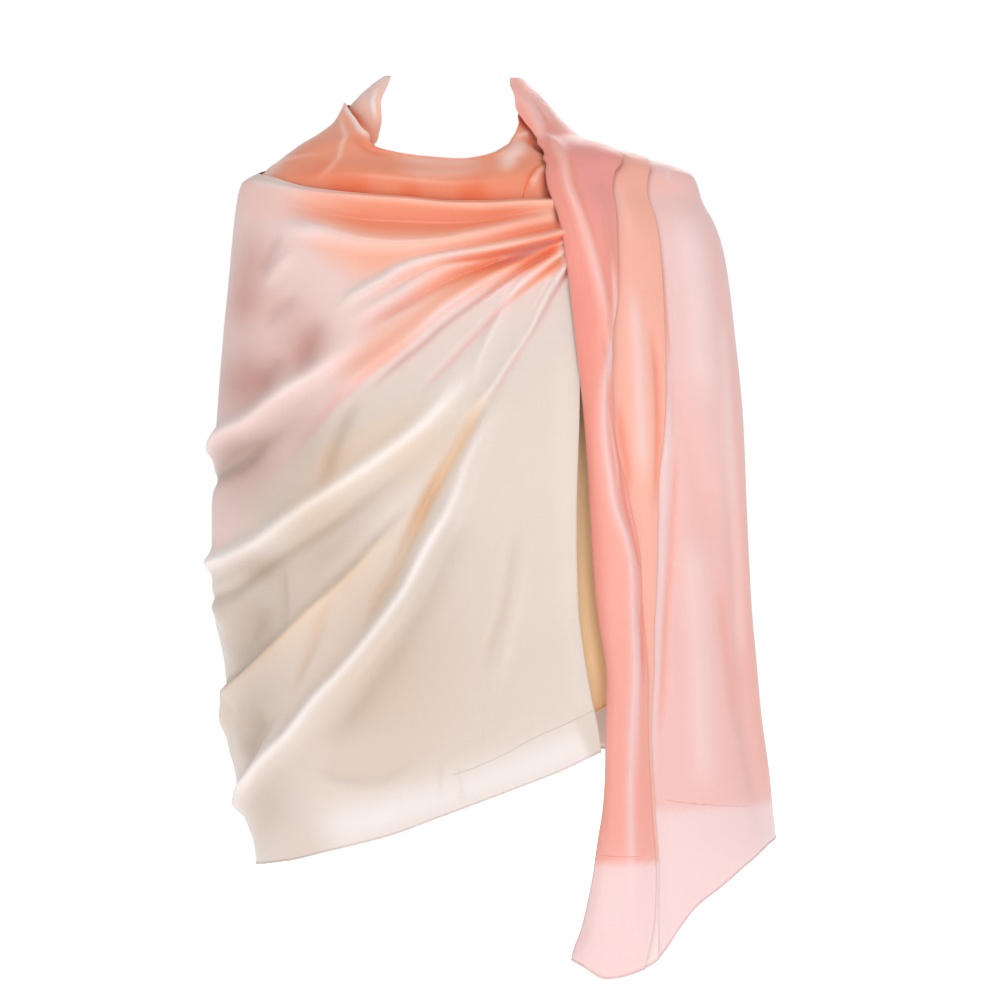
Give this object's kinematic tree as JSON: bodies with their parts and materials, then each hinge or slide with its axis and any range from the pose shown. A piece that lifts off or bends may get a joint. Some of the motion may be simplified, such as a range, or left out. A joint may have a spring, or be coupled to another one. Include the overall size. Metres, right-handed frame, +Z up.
{
  "type": "silk scarf",
  "caption": "Long thin silk scarf worn as a wrap: a soft neck edge, a front that sweeps from a shoulder gather over one arm, and a long end that falls over the other arm.",
  "frame": {"origin": "middle of the base of the neck, where the wrap is held", "axes": "+Z up, -Y out of the wearer's chest, +X towards the side with the falling end"},
  "size_m": [0.5594, 0.2847, 0.8597],
  "materials": {
    "front_silk": "silk satin that shades from coral at the neck to cream at the hem",
    "neck_silk": "coral silk satin",
    "fall_silk": "rose and peach silk satin, slightly sheer",
    "inner_silk": "cream silk satin in shade",
    "back_silk": "silk satin that shades from coral at the nape to cream at the hem"
  },
  "bodies": {
    "root": {"front_drape": "front_silk", "cowl": "neck_silk", "neck_stretch": "neck_silk", "roll": "fall_silk", "middle_fall": "fall_silk", "outer_fall": "fall_silk", "inner_stretch": "inner_silk", "back_drape": "back_silk"}
  },
  "joints": []
}
